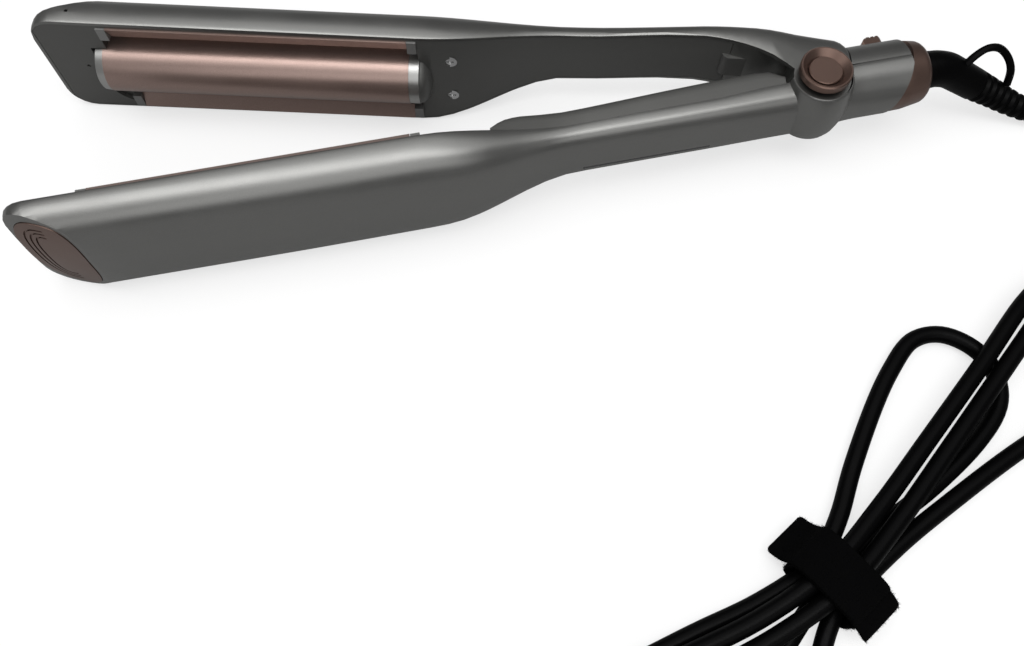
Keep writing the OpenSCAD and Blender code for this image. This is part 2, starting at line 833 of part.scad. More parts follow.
// End pieces that carry the barrel's round form past the plate: a round nose that closes in a
// dome, with straight flanks behind it
module collar_form(from, to, end_r, dome_len, way) {
    long = to - from;
    side = concat([[0, 0], [barrel_r - 0.1, 0], [end_r, long - dome_len]],
        [for (a = [15:15:90]) [end_r * cos(a), long - dome_len * (1 - sin(a))]]);
    translate([way > 0 ? -from : -to, barrel_sink, 0])
        rotate([0, way > 0 ? -90 : 90, 0]) {
            difference() {
                rotate_extrude($fn = 120) polygon(side);
                translate([-30, barrel_back - barrel_sink, -1]) cube([60, 30, 40]);
            }
            rotate([-90, 0, 0])
                linear_extrude(barrel_back - barrel_sink)
                    polygon([for (k = [1:len(side) - 1]) [side[k][0], -side[k][1]],
                        for (k = [len(side) - 1:-1:1]) [-side[k][0], -side[k][1]]]);
        }
}
module barrel_collar_tip() {
    color(metal_grey)
    far_arm()
        collar_form(plate_tip + barrel_past + 0.05, plate_tip + collar_tip, barrel_r - 0.4, 1.2, 1);
}
module barrel_collar_root() {
    color(metal_grey)
    far_arm()
        along_arm(plate_root - collar_root, plate_root - 0.05) barrel_round(-0.2);
}
module far_plate_holder() {
    color(dark_grey)
    far_arm()
        holder(lip_back, barrel_back + heater_t) barrel_round(fit_gap);
}
module far_heater() {
    color(ceramic_white) far_arm() heater(barrel_back);
}
module far_cover_screws() {
    color(steel) far_arm() cover_screws(far_in(screw_u) + cover_inset + 0.05);
}

// Cord
module swivel_barrel() {
    color(cord_black)
    at_hinge()
        translate([swivel_x, rear_off, 0]) rotate([0, 90, 0])
            union() {
                cylinder(r = swivel_r - 0.05, h = rear_end - swivel_x - 0.8, $fn = 96);
                cylinder(r = neck_r - 0.1, h = rear_len - swivel_x, $fn = 96);
            }
}

// A tube swept along points with a radius at each
function unit(v) = v / norm(v);
function tangent(p, i) = unit(p[min(i + 1, len(p) - 1)] - p[max(i - 1, 0)]);
module tube(points, radii, sides) {
    skin([for (i = [0:len(points) - 1]) let (
            t = tangent(points, i),
            side = unit(cross([0, 0, 1], t)),
            down = cross(side, t))
        ring_at(points[i], side, down, radii[i], sides)]);
}

// A smooth route through hand-chosen points
function spline(a, b, c, d, t) = 0.5 * (2 * b + (c - a) * t + (2 * a - 5 * b + 4 * c - d) * t * t
    + (3 * b - a - 3 * c + d) * t * t * t);
function route(p, n) = concat(
    [for (i = [0:len(p) - 2]) for (k = [0:n - 1])
        spline(p[max(i - 1, 0)], p[i], p[i + 1], p[min(i + 2, len(p) - 1)], k / n)],
    [p[len(p) - 1]]);

// Strain relief: a smooth neck that bends down to the table, then ribs
// Each point: distance back, distance aside, share of the fall to the table.
neck_points = [[3, 0, 0], [7, 0.1, 0.01], [12, 0.8, 0.07], [17.5, 2.2, 0.22], [25, 4.3, 0.43],
    [32.5, 6.9, 0.61], [40, 10.2, 0.78], [48, 13.9, 0.92], [relief_len, 17, 1]];
neck_start = [rear_len, rear_off, mid_z];
neck_fall = mid_z - 4;
neck_route = route([for (q = neck_points) neck_start + [q[0], -q[1], -q[2] * neck_fall]], 7);
rib_from = 30;
module cord_neck() {
    path = concat([neck_start, neck_start + [1.5, 0, 0]], neck_route);
    last = len(path) - 1;
    radii = [for (i = [0:last])
        i < rib_from ? neck_r - 0.9 * i / rib_from
            : 6.3 - 2.4 * (i - rib_from) / (last - rib_from) - (i % 3 == 1 ? 0.8 : 0)];
    color(cord_black) on_table() tube(path, radii, 16);
}
loop_points = [[16.5, -2.4, 1.5], [20.5, -0.6, 4.6], [25.5, 0.8, 6.2], [30.5, 0.3, 5.6],
    [34.6, -2.2, 2.2], [37, -5, -2.6], [37, -7.6, -8]];
module hanging_loop() {
    points = [for (q = route(loop_points, 4)) neck_start + q];
    color(cord_black) on_table() tube(points, [for (q = points) 1.5], 8);
}

// The free stretch from the relief to the hank
cord_r = cord_d / 2;
relief_end = neck_route[len(neck_route) - 1];
tie_at = [relief_end[0] - 145.5, relief_end[1] - 156];
hank_turn = 30;
cord_points = [[12.5, -3.8, 3.5], [25, -7, 3.3], [35, -14.5, 3.2], [40, -27, 3.2], [38, -40.5, 3.2],
    [29.5, -50.5, 3.2], [17, -56.5, 3.2], [2, -59.5, 3.3], [-13.5, -62.5, 4.2], [-29.5, -69, 7]];

// A place in the hank: s along it from the tie, w across it, z up. Its lower lobe bends aside.
function in_hank(q) = let (w = q[1] + (q[0] < 0 ? 0.13 * (norm([q[0], 30]) - 30) : 0))
    [tie_at[0] + q[0] * cos(hank_turn) - w * sin(hank_turn),
        tie_at[1] + q[0] * sin(hank_turn) + w * cos(hank_turn), q[2]];
hank_points = [
    [125, 18, 9.6], [95, 13.6, 9.6], [60, 9.1, 9.6], [28, 5.2, 10.1], [0, 3.6, 11.1],
    [-28, 6.5, 10.1], [-60, 13.2, 9.6], [-90, 18, 9.6], [-112, 19.5, 9], [-130, 14, 8],
    [-141, 1, 6.8], [-143, -14, 5.6], [-136, -28, 4.4], [-122, -38.5, 3.4], [-100, -43.5, 2.8],
    [-76, -41.5, 2.8], [-54, -35, 2.8], [-36, -25, 2.9], [-22, -15.2, 3.6], [-10, -8.7, 4.3],
    [0, -7, 4.4],
    [25, -7.6, 3.5], [50, -10.3, 2.8], [80, -14.5, 2.8], [110, -20.5, 2.8], [135, -26, 3],
    [150, -26, 3.6], [162, -20.5, 4.8], [167.5, -7.5, 6.4], [162.5, 5.5, 8], [149.5, 11.5, 9.2],
    [132, 11.5, 9.6],
    [112, 9, 9.6], [90, 6, 9.6], [60, 2, 9.7], [28, -2, 10.2], [0, -3.5, 11.2],
    [-28, -0.7, 10.2], [-55, 4.4, 9.7], [-73, 8, 9.6], [-88, 9.8, 9.2], [-104, 7, 8.2],
    [-112.5, -4, 6.8], [-110.5, -17, 5], [-99, -26.5, 3.4], [-82, -28, 2.8], [-66, -22.5, 2.8],
    [-50, -14.5, 2.8],
    [-27, -5.5, 3.5], [0, 0, 4.4],
    [27, -0.5, 3.5], [50, -3, 2.8], [73, -3.5, 2.8], [90, -0.5, 2.8], [99.5, 8, 2.8],
    [101.5, 19, 2.8], [97, 30, 2.8], [87, 35.5, 2.8], [73, 33.5, 2.8], [57, 28.5, 2.8],
    [36, 20, 2.8], [17, 11.2, 3.8], [0, 7, 4.4],
    [-22, 9.8, 3.5], [-45, 15, 2.8], [-72, 20, 2.9], [-100, 25, 3.2]];
module cord() {
    first = hank_path[0];
    way = unit(hank_path[1] - first);
    path = concat([relief_end, relief_end + cord_r * unit(relief_end - neck_route[len(neck_route) - 2])],
        route([for (q = cord_points) [relief_end[0] + q[0], relief_end[1] + q[1], q[2]]], 3),
        [first - cord_d * way, first]);
    color(cord_black) on_table() tube(path, [for (q = path) cord_r], 8);
}
hank_path = route([for (q = hank_points) in_hank(q)], 2);

// Least gap of the hank to itself, from each point to each stretch at least skip points away
function to_stretch(q, a, b) = let (t = min(1, max(0, (q - a) * (b - a) / ((b - a) * (b - a)))))
    norm(q - a - t * (b - a));
function least_gap(p, skip) = min([for (i = [0:len(p) - 1]) for (j = [0:len(p) - 2])
    if (abs(i - j) > skip && abs(i - j - 1) > skip) to_stretch(p[i], p[j], p[j + 1])]) - cord_d;
function run(p) = [for (i = [1:len(p) - 1]) norm(p[i] - p[i - 1])] * [for (i = [1:len(p) - 1]) 1];
module cord_hank() {
    echo(str("least gap of the hank to itself: ", least_gap(hank_path, 6), " mm"));
    echo(str("length of the hank: ", run(hank_path), " mm"));
    color(cord_black) on_table() tube(hank_path, [for (q = hank_path) cord_r], 6);
}

// Soft strap round the hank's waist, with its two ends standing out at the sides
strap_w = 17;
strap_t = 1.4;
module cord_tie() {
    half = 11.8;
    base = 1.1;
    top = 14.2;
    color(cord_black)
    on_table()
    translate([tie_at[0], tie_at[1], 0])
        rotate([0, 0, hank_turn])
            translate([-strap_w / 2, 0, 0])
                rotate([90, 0, 90])
                    linear_extrude(strap_w)
                        union() {
                            difference() {
                                round_box(half + strap_t, 0, top + strap_t, 4.5);
                                round_box(half, base, top, 3.2);
                            }
                            translate([half + 1, 4]) square([5, 5]);
                            translate([half + 6, 6.5]) circle(r = 2.5, $fn = 32);
                            translate([-half - 5, 5.2]) square([4, 4.4]);
                            translate([-half - 5, 7.4]) circle(r = 2.2, $fn = 32);
                        }
}
module round_box(half, low, high, r) {
    translate([-half, low + r]) square([2 * half, high - low - 2 * r]);
    translate([r - half, low]) square([2 * half - 2 * r, high - low]);
    for (x = [r - half, half - r])
        for (y = [low + r, high - r])
            translate([x, y]) circle(r = r, $fn = 48);
}

// The rest of the cord, and the plug
plug_len = 62;
plug_half_w = 17.6;
plug_half_t = 6.85;
plug_at = [relief_end[0] - 295.5, relief_end[1] - 234, plug_half_t];
tail_points = [[-269.5, -185, 3.4], [-282.5, -193.5, 3.4], [-291, -205, 4], [-295, -217, 5.8]];
module cord_tail() {
    last = hank_path[len(hank_path) - 1];
    way = unit(last - hank_path[len(hank_path) - 2]);
    path = concat([last, last + cord_d * way],
        route([for (q = tail_points) [relief_end[0] + q[0], relief_end[1] + q[1], q[2]]], 3),
        [plug_at + [0, cord_d, 0], plug_at]);
    color(cord_black) on_table() tube(path, [for (q = path) cord_r], 6);
}
module plug_place() {
    on_table() translate(plug_at) rotate([0, 0, -90]) children();
}
module plug_body() {
    relief = 24;
    shape = [[relief, 4.4, 4.4], [relief + 4, 6.4, 5], [relief + 9, 9.5, 5.8],
        [relief + 14, 14.4, 6.5], [relief + 17, 16.8, plug_half_t], [relief + 21, plug_half_w,
        plug_half_t], [plug_len - 2, plug_half_w, plug_half_t], [plug_len, plug_half_w - 1.4,
        plug_half_t - 1.2]];
    color(cord_black)
    plug_place()
    difference() {
        union() {
            skin([for (q = shape) [for (a = [0:12:348]) [q[0],
                q[1] * sign(cos(a)) * pow(abs(cos(a)), 0.6), -q[2] * sign(sin(a))
                * pow(abs(sin(a)), 0.6)]]]);
            rotate([0, 90, 0])
                rotate_extrude($fn = 64)
                    polygon([[0, 0], [3.9, 0], [4.4, relief + 1], [0, relief + 1]]);
        }
        for (x = [3:4:relief - 2])
            translate([x, 0, 0]) rotate([0, 90, 0])
                difference() {
                    cylinder(r = 8, h = 1.6, $fn = 64);
                    translate([0, 0, -1]) cylinder(r = 3.4, h = 5, $fn = 64);
                }
        for (s = [-1, 1]) translate([plug_len - 8, s * 9.3, 0]) rotate([0, 90, 0])
            cylinder(r = pin_core_r + 0.03, h = 20, $fn = 48);
    }
}
pin_plug_r = 2;
pin_core_r = 1.7;
pin_step = 8.3;
module plug_pins() {
    color(steel)
    plug_place()
        for (s = [-1, 1])
            translate([plug_len - 8, s * 9.3, 0])
                rotate([0, 90, 0])
                    rotate_extrude($fn = 48)
                        polygon([[0, 0], [pin_core_r, 0], [pin_core_r, pin_step],
                            [pin_plug_r, pin_step], [pin_plug_r, 25.6], [1.5, 26.6],
                            [0.8, 27], [0, 27]]);
}

near_casing();
near_inner_cover();
near_tip_cap();
trough_plate();
near_plate_holder();
near_heater();
near_cover_screws();
rear_cover();
rear_collar();
lock_slider();
control_board();
display_lens();
hinge_pin();
hinge_ring();
hinge_disc();
hinge_spring();
hinge_washer();
far_casing();
far_inner_cover();
far_tip_cap();
barrel_plate();
barrel_collar_tip();
barrel_collar_root();
far_plate_holder();
far_heater();
far_cover_screws();
swivel_barrel();
cord_neck();
hanging_loop();
cord();
cord_hank();
cord_tie();
cord_tail();
plug_body();
plug_pins();
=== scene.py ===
"""Looks for the hair waver: a titanium-grey tool lying open on a white floor.

Its lead is tied in a hank beside it. Lengths are in millimetres until they are multiplied by MM.
"""
import json
import math
import random

import bmesh
import bpy
from mathutils import Matrix, Vector

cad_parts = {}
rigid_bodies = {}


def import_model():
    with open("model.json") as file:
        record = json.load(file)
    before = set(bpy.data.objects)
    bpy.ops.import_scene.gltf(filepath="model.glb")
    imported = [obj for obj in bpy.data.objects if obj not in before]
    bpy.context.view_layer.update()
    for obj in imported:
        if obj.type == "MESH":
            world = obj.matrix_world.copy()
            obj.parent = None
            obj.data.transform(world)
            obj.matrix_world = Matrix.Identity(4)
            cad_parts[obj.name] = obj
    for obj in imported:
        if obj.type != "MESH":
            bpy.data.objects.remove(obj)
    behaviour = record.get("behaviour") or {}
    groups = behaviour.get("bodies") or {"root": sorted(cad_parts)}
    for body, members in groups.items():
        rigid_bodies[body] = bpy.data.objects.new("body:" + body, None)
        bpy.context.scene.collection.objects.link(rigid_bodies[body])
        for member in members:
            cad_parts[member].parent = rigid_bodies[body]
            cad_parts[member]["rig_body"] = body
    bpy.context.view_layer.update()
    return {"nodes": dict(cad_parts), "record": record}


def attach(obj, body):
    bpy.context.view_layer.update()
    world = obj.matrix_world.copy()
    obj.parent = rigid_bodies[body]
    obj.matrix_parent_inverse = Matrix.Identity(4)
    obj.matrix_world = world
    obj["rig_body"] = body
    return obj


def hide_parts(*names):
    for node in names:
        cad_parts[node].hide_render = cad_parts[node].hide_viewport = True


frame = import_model()
MM = 0.001
scene = bpy.context.scene

# ---------------------------------------------------------------- camera
CAMERA_AT = (-64.8, -223.262, 315.8)
CAMERA_PITCH = 66.54  # degrees below the horizon
CAMERA_HEADING = Vector((0.2287, 0.9735, 0.0)).normalized()
CAMERA_ROLL = 1.5
FOCAL_PX = 940.0
FRAME_PX = 1024.0
SENSOR = 36.0


def make_camera():
    pitch, roll = math.radians(CAMERA_PITCH), math.radians(CAMERA_ROLL)
    look = CAMERA_HEADING * math.cos(pitch) - Vector((0, 0, math.sin(pitch)))
    side = Vector((CAMERA_HEADING.y, -CAMERA_HEADING.x, 0))
    up = side.cross(look)
    right = side * math.cos(roll) + up * math.sin(roll)
    above = up * math.cos(roll) - side * math.sin(roll)
    data = bpy.data.cameras.new("camera")
    data.sensor_fit = "HORIZONTAL"
    data.sensor_width = SENSOR
    data.lens = FOCAL_PX / FRAME_PX * SENSOR
    data.clip_start, data.clip_end = 0.01, 20
    camera = bpy.data.objects.new("camera", data)
    camera.matrix_world = Matrix((right, above, -look)).transposed().to_4x4()
    camera.location = Vector(CAMERA_AT) * MM
    scene.collection.objects.link(camera)
    scene.camera = camera


make_camera()

# ---------------------------------------------------------------- mesh helpers


def new_object(name, verts, faces, smooth=True):
    mesh = bpy.data.meshes.new(name)
    mesh.from_pydata([tuple(v) for v in verts], [], faces)
    mesh.validate()
    mesh.update()
    if smooth:
        mesh.polygons.foreach_set("use_smooth", [True] * len(mesh.polygons))
    obj = bpy.data.objects.new(name, mesh)
    scene.collection.objects.link(obj)
    return obj


def frames_along(points):
    """A tangent, side and up at each point, turned as little as possible along the way."""
    pts = [Vector(p) for p in points]
    out = []
    side = None
    for i, p in enumerate(pts):
        t = (pts[min(i + 1, len(pts) - 1)] - pts[max(i - 1, 0)]).normalized()
        if side is None:
            side = Vector((0, 0, 1)).cross(t).normalized()
        else:
            side = (side - t * side.dot(t)).normalized()
        out.append((p, t, side, t.cross(side)))
    return out


def tube(name, points, radii, sides):
    """A tube of rings along points, closed at both ends."""
    verts, faces = [], []
    rings = frames_along(points)
    for (p, t, side, up), r in zip(rings, radii):
        for k in range(sides):
            a = 2 * math.pi * k / sides
            verts.append(p + side * (r * math.cos(a)) + up * (r * math.sin(a)))
    for i in range(len(rings) - 1):
        for k in range(sides):
            a, b = i * sides + k, i * sides + (k + 1) % sides
            faces.append((a, b, b + sides, a + sides))
    faces.append(tuple(range(sides))[::-1])
    faces.append(tuple((len(rings) - 1) * sides + k for k in range(sides)))
    return new_object(name, verts, faces)


def spline(points, steps):
    """Points on a smooth curve through the given ones."""
    p = [Vector(q) for q in points]
    out = []
    for i in range(len(p) - 1):
        a, b, c, d = p[max(i - 1, 0)], p[i], p[i + 1], p[min(i + 2, len(p) - 1)]
        for k in range(steps):
            t = k / steps
            out.append(0.5 * (2 * b + (c - a) * t + (2 * a - 5 * b + 4 * c - d) * t * t
                              + (3 * b - a - 3 * c + d) * t ** 3))
    out.append(p[-1])
    return out


# ---------------------------------------------------------------- the cord's route, as in part.scad
HINGE = Vector((93.6, -33.3624, 0))
MID_Z = 24.5
NECK_START = Vector((45.5, 5, MID_Z))
NECK_FALL = MID_Z - 4
CORD_D = 6.2
NECK_POINTS = [(3, 0, 0), (7, .1, .01), (12, .8, .07), (17.5, 2.2, .22), (25, 4.3, .43),
               (32.5, 6.9, .61), (40, 10.2, .78), (48, 13.9, .92), (55, 17, 1)]
NECK_ROUTE = [HINGE + NECK_START + Vector((x, -y, -s * NECK_FALL)) for x, y, s in NECK_POINTS]
RELIEF_END = NECK_ROUTE[-1]
CORD_POINTS = [
    (12.5, -3.8, 3.5), (25, -7, 3.3), (35, -14.5, 3.2), (40, -27, 3.2), (38, -40.5, 3.2),
    (29.5, -50.5, 3.2), (17, -56.5, 3.2), (2, -59.5, 3.3), (-13.5, -62.5, 4.2), (-29.5, -69, 7)]
TIE_AT = (RELIEF_END.x - 145.5, RELIEF_END.y - 156)
HANK_TURN = math.radians(30)
HANK_POINTS = [
    (125, 18, 9.6), (95, 13.6, 9.6), (60, 9.1, 9.6), (28, 5.2, 10.1), (0, 3.6, 11.1),
    (-28, 6.5, 10.1), (-60, 13.2, 9.6), (-90, 18, 9.6), (-112, 19.5, 9), (-130, 14, 8),
    (-141, 1, 6.8), (-143, -14, 5.6), (-136, -28, 4.4), (-122, -38.5, 3.4), (-100, -43.5, 2.8),
    (-76, -41.5, 2.8), (-54, -35, 2.8), (-36, -25, 2.9), (-22, -15.2, 3.6), (-10, -8.7, 4.3),
    (0, -7, 4.4), (25, -7.6, 3.5), (50, -10.3, 2.8), (80, -14.5, 2.8), (110, -20.5, 2.8),
    (135, -26, 3), (150, -26, 3.6), (162, -20.5, 4.8), (167.5, -7.5, 6.4), (162.5, 5.5, 8),
    (149.5, 11.5, 9.2), (132, 11.5, 9.6), (112, 9, 9.6), (90, 6, 9.6), (60, 2, 9.7),
    (28, -2, 10.2), (0, -3.5, 11.2), (-28, -.7, 10.2), (-55, 4.4, 9.7), (-73, 8, 9.6),
    (-88, 9.8, 9.2), (-104, 7, 8.2), (-112.5, -4, 6.8), (-110.5, -17, 5), (-99, -26.5, 3.4),
    (-82, -28, 2.8), (-66, -22.5, 2.8), (-50, -14.5, 2.8), (-27, -5.5, 3.5), (0, 0, 4.4),
    (27, -.5, 3.5), (50, -3, 2.8), (73, -3.5, 2.8), (90, -.5, 2.8), (99.5, 8, 2.8),
    (101.5, 19, 2.8), (97, 30, 2.8), (87, 35.5, 2.8), (73, 33.5, 2.8), (57, 28.5, 2.8),
    (36, 20, 2.8), (17, 11.2, 3.8), (0, 7, 4.4), (-22, 9.8, 3.5), (-45, 15, 2.8), (-72, 20, 2.9),
    (-100, 25, 3.2)]
PLUG_HALF_T = 6.85
PLUG_AT = Vector((RELIEF_END.x - 295.5, RELIEF_END.y - 234, PLUG_HALF_T))
TAIL_POINTS = [
    (-269.5, -185, 3.4), (-282.5, -193.5, 3.4), (-291, -205, 4), (-295, -217, 5.8)]
ROUTE_STEPS = 6
LEAD_SIDES = 20
FLOOR_GAP = 0.05
LOBE_BEND, LOBE_EASE = 0.13, 30  # how the hank's lower lobe bends aside


def in_hank(s, w, z):
    """A place in the hank: s along it from the tie, w across it, z up."""
    if s < 0:
        w += LOBE_BEND * (math.hypot(s, LOBE_EASE) - LOBE_EASE)
    return Vector((TIE_AT[0] + s * math.cos(HANK_TURN) - w * math.sin(HANK_TURN),
                   TIE_AT[1] + s * math.sin(HANK_TURN) + w * math.cos(HANK_TURN), z))


def beside_relief(points):
    return [Vector((RELIEF_END.x + x, RELIEF_END.y + y, z)) for x, y, z in points]


def cord_route():
    """The lead's centreline from the relief's end to the plug, in millimetres."""
    free = [RELIEF_END] + beside_relief(CORD_POINTS)
    hank = [in_hank(*p) for p in HANK_POINTS]
    tail = beside_relief(TAIL_POINTS) + [PLUG_AT + Vector((0, CORD_D, 0)), PLUG_AT]
    line = spline(free + hank + tail, ROUTE_STEPS)
    floor = CORD_D / 2 + FLOOR_GAP
    return [Vector((p.x, p.y, max(p.z, floor))) for p in line]


ROUTE = cord_route()
lead = tube("lead", [p * MM for p in ROUTE], [CORD_D / 2 * MM] * len(ROUTE), LEAD_SIDES)

# ---------------------------------------------------------------- materials


NOISE_LOW, NOISE_HIGH = 0.3, 0.7


class Nodes:
    """Short calls for building one material's node tree."""

    def __init__(self, name):
        self.material = bpy.data.materials.new(name)
        self.material.use_nodes = True
        self.tree = self.material.node_tree
        self.tree.nodes.clear()
        self.out = self.tree.nodes.new("ShaderNodeOutputMaterial")
        self.shader = self.tree.nodes.new("ShaderNodeBsdfPrincipled")
        self.link(self.shader, "BSDF", self.out, "Surface")
        self.place = self.tree.nodes.new("ShaderNodeTexCoord")

    def link(self, a, out, b, socket):
        self.tree.links.new(a.outputs[out], b.inputs[socket])

    def add(self, kind, **values):
        node = self.tree.nodes.new(kind)
        for key, value in values.items():
            if key in node.inputs:
                node.inputs[key].default_value = value
            else:
                setattr(node, key, value)
        return node

    def noise(self, scale, detail, rough=0.5):
        noise = self.add("ShaderNodeTexNoise", Scale=scale, Detail=detail, Roughness=rough)
        self.link(self.place, "Object", noise, "Vector")
        return noise

    def ramp(self, source, out, stops):
        ramp = self.add("ShaderNodeValToRGB")
        while len(ramp.color_ramp.elements) < len(stops):
            ramp.color_ramp.elements.new(0.5)
        for element, (at, colour) in zip(ramp.color_ramp.elements, stops):
            element.position = at
            element.color = (*colour, 1) if len(colour) == 3 else colour
        self.link(source, out, ramp, "Fac")
        return ramp

    def spread(self, source, out, low, high):
        """Maps the range that most of the noise lies in to low..high."""
        node = self.add("ShaderNodeMapRange")
        node.inputs["From Min"].default_value = NOISE_LOW
        node.inputs["From Max"].default_value = NOISE_HIGH
        node.inputs["To Min"].default_value = low
        node.inputs["To Max"].default_value = high
        self.link(source, out, node, "Value")
        return node

    def bump(self, source, out, strength, distance):
        node = self.add("ShaderNodeBump")
        node.inputs["Strength"].default_value = strength
        node.inputs["Distance"].default_value = distance
        self.link(source, out, node, "Height")
        return node

    def set(self, **values):
        for key, value in values.items():
            self.shader.inputs[key.replace("_", " ")].default_value = value


def shade(colour, k):
    return tuple(c * k for c in colour)


FLAKE_EDGES = (0.36, 0.64)
MOTTLE = (0.955, 1.0)
ROUGH_VARY = 0.03
MOULD_VARY = 0.12


def metal_paint(name, colour, metallic, rough, flake=0.10, grain=9000):
    """Satin metallic paint: fine flakes, faint mottling and slightly uneven gloss."""
    m = Nodes(name)
    flakes = m.noise(grain, 1.0, rough=0.6)
    clouds = m.noise(60, 3.0)
    colours = m.ramp(flakes, "Fac", [(FLAKE_EDGES[0], shade(colour, 1 - flake)),
                                     (FLAKE_EDGES[1], shade(colour, 1 + flake))])
    mottle = m.ramp(clouds, "Fac", [(NOISE_LOW, (MOTTLE[0],) * 3), (NOISE_HIGH, (MOTTLE[1],) * 3)])
    mix = m.add("ShaderNodeMix", data_type="RGBA", blend_type="MULTIPLY")
    mix.inputs[0].default_value = 1
    m.tree.links.new(colours.outputs["Color"], mix.inputs[6])
    m.tree.links.new(mottle.outputs["Color"], mix.inputs[7])
    m.tree.links.new(mix.outputs[2], m.shader.inputs["Base Color"])
    uneven = m.spread(clouds, "Fac", rough - ROUGH_VARY, rough + ROUGH_VARY)
    m.link(uneven, "Result", m.shader, "Roughness")
    m.link(m.bump(flakes, "Fac", 0.12, 0.00004), "Normal", m.shader, "Normal")
    m.set(Metallic=metallic)
    return m.material


def moulded(name, colour, rough, grain=2600, depth=0.00003, gloss=0.5):
    """Moulded plastic or rubber with a fine spark-eroded texture."""
    m = Nodes(name)
    fine = m.noise(grain, 2.0)
    clouds = m.noise(45, 3.0)
    ramp = m.ramp(clouds, "Fac", [(NOISE_LOW, shade(colour, 1 - MOULD_VARY)),
                                  (NOISE_HIGH, shade(colour, 1 + MOULD_VARY))])
    m.link(ramp, "Color", m.shader, "Base Color")
    m.link(m.spread(fine, "Fac", rough - 0.06, rough + 0.06), "Result", m.shader, "Roughness")
    m.link(m.bump(fine, "Fac", 0.35, depth), "Normal", m.shader, "Normal")
    m.set(Specular_IOR_Level=gloss)
    return m.material


def bare_metal(name, colour, rough):
    """Bare metal with a fine even grain."""
    m = Nodes(name)
    grain = m.noise(5200, 2.0)
    clouds = m.noise(70, 3.0)
    ramp = m.ramp(grain, "Fac", [(NOISE_LOW, shade(colour, 0.9)), (NOISE_HIGH, shade(colour, 1.08))])
    m.link(ramp, "Color", m.shader, "Base Color")
    m.link(m.spread(clouds, "Fac", rough - 0.03, rough + 0.04), "Result", m.shader, "Roughness")
    m.link(m.bump(grain, "Fac", 0.15, 0.00003), "Normal", m.shader, "Normal")
    m.set(Metallic=1.0)
    return m.material


TITANIUM = (0.2, 0.2, 0.193)
ROSE = (0.34, 0.245, 0.215)
MATERIALS = {
    "casing": metal_paint("titanium_paint", TITANIUM, 0.92, 0.36),
    "inner_cover": metal_paint("inner_cover_paint", (0.115, 0.115, 0.11), 0.6, 0.46, 0.06),
    "rose_trim": metal_paint("rose_paint", (0.17, 0.112, 0.092), 0.9, 0.36, 0.08),
    "plate": metal_paint("rose_ceramic", ROSE, 0.75, 0.34, 0.14, 6000),
    "collar": metal_paint("collar_paint", (0.4, 0.4, 0.39), 0.85, 0.34, 0.05),
    "holder": metal_paint("holder_plastic", (0.24, 0.24, 0.235), 0.6, 0.42, 0.05),
    "heater": moulded("ceramic_white", (0.7, 0.7, 0.66), 0.6),
    "board": moulded("board_green", (0.02, 0.12, 0.05), 0.45),
    "lens": moulded("lens_black", (0.008, 0.008, 0.009), 0.12, depth=0.000002),
    "steel": bare_metal("screw_steel", (0.55, 0.55, 0.55), 0.22),
    "swivel": moulded("rubber_black", (0.0009, 0.0009, 0.001), 0.38, gloss=0.05),
    "cord_jacket": moulded("lead_black", (0.0012, 0.0012, 0.0013), 0.36, 1800, gloss=0.05),
    "strap": moulded("strap_black", (0.0008, 0.0008, 0.0009), 0.95, gloss=0.05),
    "plug": moulded("plug_black", (0.0025, 0.0025, 0.0027), 0.4, gloss=0.25),
}

# ---------------------------------------------------------------- CAD nodes, smoothed where they are faceted
BODY_OF = {n: o["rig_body"] for n, o in frame["nodes"].items()}
SLOT_OF = {p["node"]: p["material_slot"] for p in frame["record"]["subparts"]}
# These two are painted darker than their slots, as painted shade. Their edges stand above the near arm's rim
# as a bright line that the photo doesn't have, and the painted shade only dims it.
# the trough plate gets the plate's rose ceramic painted darker, and the near plate holder the darker inner
# cover paint: both painted shade
PAINTED_SHADE_PARTS = {"trough_plate": metal_paint("trough_ceramic_painted_shade", (0.13, 0.095, 0.083), 0.6, 0.5, 0.1, 6000),
          "near_plate_holder": MATERIALS["inner_cover"]}
for node, obj in frame["nodes"].items():
    obj.data.materials.clear()
    obj.data.materials.append(PAINTED_SHADE_PARTS.get(node, MATERIALS[SLOT_OF[node]]))

WELD = 2e-6
SHARP = math.radians(28)


def smooth_copy(node):
    """A welded copy of a CAD node, smooth across its small facets and sharp at its real edges."""
    source = frame["nodes"][node]
    bm = bmesh.new()
    bm.from_mesh(source.data)
    bmesh.ops.remove_doubles(bm, verts=bm.verts, dist=WELD)
    bmesh.ops.dissolve_degenerate(bm, edges=bm.edges, dist=WELD)
    for edge in bm.edges:
        edge.smooth = not (len(edge.link_faces) != 2 or edge.calc_face_angle(math.pi) > SHARP)
    for face in bm.faces:
        face.smooth = True
    name = node + "_skin"
    mesh = bpy.data.meshes.new(name)
    bm.to_mesh(mesh)
    bm.free()
    mesh.materials.append(MATERIALS[SLOT_OF[node]])
    obj = bpy.data.objects.new(name, mesh)
    scene.collection.objects.link(obj)
    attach(obj, BODY_OF[node])
    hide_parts(node)
    return obj


for node in ("near_casing", "far_casing", "near_inner_cover", "far_inner_cover", "near_tip_cap",
             "far_tip_cap", "rear_cover", "rear_collar", "lock_slider", "cord_neck", "hanging_loop",
             "plug_body", "hinge_ring", "display_lens"):
    smooth_copy(node)

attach(lead, "cord_set")
lead.data.materials.append(MATERIALS["cord_jacket"])
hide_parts("cord", "cord_hank", "cord_tail")


